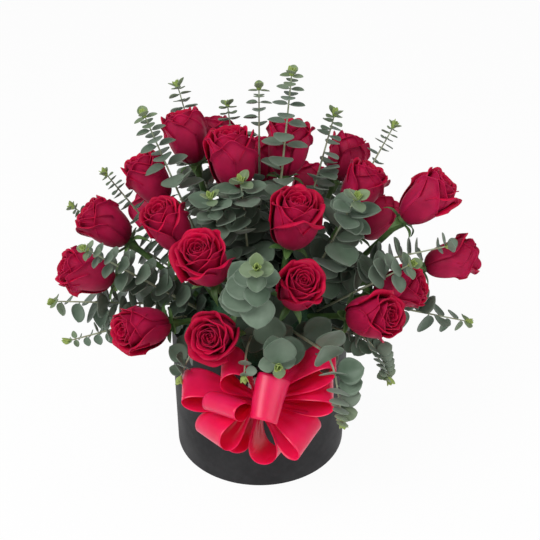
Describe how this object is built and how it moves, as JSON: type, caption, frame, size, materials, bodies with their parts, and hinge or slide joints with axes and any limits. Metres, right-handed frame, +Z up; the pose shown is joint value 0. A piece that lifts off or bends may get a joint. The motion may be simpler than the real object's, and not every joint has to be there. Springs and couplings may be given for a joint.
{
  "type": "flower box",
  "caption": "Round black paper-covered box of red roses and eucalyptus, set in wet foam in a lift-out liner, with a red ribbon bow on the front.",
  "frame": {"origin": "middle of the underside of the box, on the surface that it stands on", "axes": "+Z up, -Y to the front where the bow is, +X to the viewer's right"},
  "size_m": [0.3771, 0.3316, 0.36],
  "materials": {
    "board": "grey-brown board",
    "black_paper": "matte black paper",
    "liner_plastic": "thin pot",
    "wet_foam": "wet foam",
    "red_ribbon": "glossy ribbon",
    "adhesive_foam": "foam tape",
    "rose_petal": "soft petal",
    "eucalyptus_leaf": "waxy leaf"
  },
  "bodies": {
    "box": {"box_tube": "board", "box_base": "board", "outer_wrap": "black_paper", "base_cover": "black_paper", "ribbon_bow": "red_ribbon", "bow_tie": "red_ribbon", "bow_pad": "adhesive_foam"},
    "insert": {"liner": "liner_plastic", "foam": "wet_foam", "eucalyptus_01": "eucalyptus_leaf", "eucalyptus_02": "eucalyptus_leaf", "eucalyptus_03": "eucalyptus_leaf", "eucalyptus_04": "eucalyptus_leaf", "eucalyptus_05": "eucalyptus_leaf", "eucalyptus_06": "eucalyptus_leaf", "eucalyptus_07": "eucalyptus_leaf", "eucalyptus_08": "eucalyptus_leaf", "eucalyptus_09": "eucalyptus_leaf", "eucalyptus_10": "eucalyptus_leaf", "eucalyptus_11": "eucalyptus_leaf", "eucalyptus_12": "eucalyptus_leaf", "eucalyptus_13": "eucalyptus_leaf", "eucalyptus_14": "eucalyptus_leaf", "eucalyptus_15": "eucalyptus_leaf", "eucalyptus_16": "eucalyptus_leaf", "eucalyptus_17": "eucalyptus_leaf", "eucalyptus_18": "eucalyptus_leaf", "eucalyptus_19": "eucalyptus_leaf", "eucalyptus_20": "eucalyptus_leaf", "eucalyptus_21": "eucalyptus_leaf", "eucalyptus_22": "eucalyptus_leaf", "eucalyptus_23": "eucalyptus_leaf", "eucalyptus_24": "eucalyptus_leaf", "eucalyptus_25": "eucalyptus_leaf", "eucalyptus_26": "eucalyptus_leaf", "eucalyptus_27": "eucalyptus_leaf"},
    "rose_01_flower": {"rose_01": "rose_petal"},
    "rose_02_flower": {"rose_02": "rose_petal"},
    "rose_03_flower": {"rose_03": "rose_petal"},
    "rose_04_flower": {"rose_04": "rose_petal"},
    "rose_05_flower": {"rose_05": "rose_petal"},
    "rose_06_flower": {"rose_06": "rose_petal"},
    "rose_07_flower": {"rose_07": "rose_petal"},
    "rose_08_flower": {"rose_08": "rose_petal"},
    "rose_09_flower": {"rose_09": "rose_petal"},
    "rose_10_flower": {"rose_10": "rose_petal"},
    "rose_11_flower": {"rose_11": "rose_petal"},
    "rose_12_flower": {"rose_12": "rose_petal"},
    "rose_13_flower": {"rose_13": "rose_petal"},
    "rose_14_flower": {"rose_14": "rose_petal"},
    "rose_15_flower": {"rose_15": "rose_petal"},
    "rose_16_flower": {"rose_16": "rose_petal"},
    "rose_17_flower": {"rose_17": "rose_petal"},
    "rose_18_flower": {"rose_18": "rose_petal"},
    "rose_19_flower": {"rose_19": "rose_petal"},
    "rose_20_flower": {"rose_20": "rose_petal"},
    "rose_21_flower": {"rose_21": "rose_petal"},
    "rose_22_flower": {"rose_22": "rose_petal"},
    "rose_23_flower": {"rose_23": "rose_petal"},
    "rose_24_flower": {"rose_24": "rose_petal"}
  },
  "joints": [
    {"name": "insert_lift", "type": "slide", "parent": "box", "child": "insert", "axis": [0, 0, 1], "range_m": [0, 0.135]},
    {"name": "rose_01_pull", "type": "slide", "parent": "insert", "child": "rose_01_flower", "axis": [-0.2621, 0.1638, 0.9511], "range_m": [0, 0.025]},
    {"name": "rose_02_pull", "type": "slide", "parent": "insert", "child": "rose_02_flower", "axis": [-0.4471, 0.0788, 0.891], "range_m": [0, 0.025]},
    {"name": "rose_03_pull", "type": "slide", "parent": "insert", "child": "rose_03_flower", "axis": [-0.1014, 0.0253, 0.9945], "range_m": [0, 0.025]},
    {"name": "rose_04_pull", "type": "slide", "parent": "insert", "child": "rose_04_flower", "axis": [0.0239, 0.3412, 0.9397], "range_m": [0, 0.025]},
    {"name": "rose_05_pull", "type": "slide", "parent": "insert", "child": "rose_05_flower", "axis": [0.1087, 0.1125, 0.9877], "range_m": [0, 0.025]},
    {"name": "rose_06_pull", "type": "slide", "parent": "insert", "child": "rose_06_flower", "axis": [0.3851, 0.3851, 0.8387], "range_m": [0, 0.025]},
    {"name": "rose_07_pull", "type": "slide", "parent": "insert", "child": "rose_07_flower", "axis": [0.4441, 0.0944, 0.891], "range_m": [0, 0.025]},
    {"name": "rose_08_pull", "type": "slide", "parent": "insert", "child": "rose_08_flower", "axis": [0.6536, -0.0572, 0.7547], "range_m": [0, 0.025]},
    {"name": "rose_09_pull", "type": "slide", "parent": "insert", "child": "rose_09_flower", "axis": [-0.7189, -0.0251, 0.6947], "range_m": [0, 0.025]},
    {"name": "rose_10_pull", "type": "slide", "parent": "insert", "child": "rose_10_flower", "axis": [-0.8565, -0.2456, 0.454], "range_m": [0, 0.025]},
    {"name": "rose_11_pull", "type": "slide", "parent": "insert", "child": "rose_11_flower", "axis": [-0.3834, -0.2125, 0.8988], "range_m": [0, 0.025]},
    {"name": "rose_12_pull", "type": "slide", "parent": "insert", "child": "rose_12_flower", "axis": [-0.2347, -0.4415, 0.866], "range_m": [0, 0.025]},
    {"name": "rose_13_pull", "type": "slide", "parent": "insert", "child": "rose_13_flower", "axis": [0.1461, -0.2338, 0.9613], "range_m": [0, 0.025]},
    {"name": "rose_14_pull", "type": "slide", "parent": "insert", "child": "rose_14_flower", "axis": [0.1959, -0.569, 0.7986], "range_m": [0, 0.025]},
    {"name": "rose_15_pull", "type": "slide", "parent": "insert", "child": "rose_15_flower", "axis": [-0.7399, -0.6209, 0.2588], "range_m": [0, 0.025]},
    {"name": "rose_16_pull", "type": "slide", "parent": "insert", "child": "rose_16_flower", "axis": [-0.2777, -0.8548, 0.4384], "range_m": [0, 0.025]},
    {"name": "rose_17_pull", "type": "slide", "parent": "insert", "child": "rose_17_flower", "axis": [0.6947, -0.6039, 0.3907], "range_m": [0, 0.025]},
    {"name": "rose_18_pull", "type": "slide", "parent": "insert", "child": "rose_18_flower", "axis": [0.8818, -0.2865, 0.3746], "range_m": [0, 0.025]},
    {"name": "rose_19_pull", "type": "slide", "parent": "insert", "child": "rose_19_flower", "axis": [0.9646, 0.0506, 0.2588], "range_m": [0, 0.025]},
    {"name": "rose_20_pull", "type": "slide", "parent": "insert", "child": "rose_20_flower", "axis": [-0.1985, 0.4913, 0.848], "range_m": [0, 0.025]},
    {"name": "rose_21_pull", "type": "slide", "parent": "insert", "child": "rose_21_flower", "axis": [-0.6789, 0.6113, 0.4067], "range_m": [0, 0.025]},
    {"name": "rose_22_pull", "type": "slide", "parent": "insert", "child": "rose_22_flower", "axis": [-0.1582, 0.8138, 0.5592], "range_m": [0, 0.025]},
    {"name": "rose_23_pull", "type": "slide", "parent": "insert", "child": "rose_23_flower", "axis": [0.3031, 0.7501, 0.5878], "range_m": [0, 0.025]},
    {"name": "rose_24_pull", "type": "slide", "parent": "insert", "child": "rose_24_flower", "axis": [0.7451, 0.5026, 0.4384], "range_m": [0, 0.025]}
  ]
}
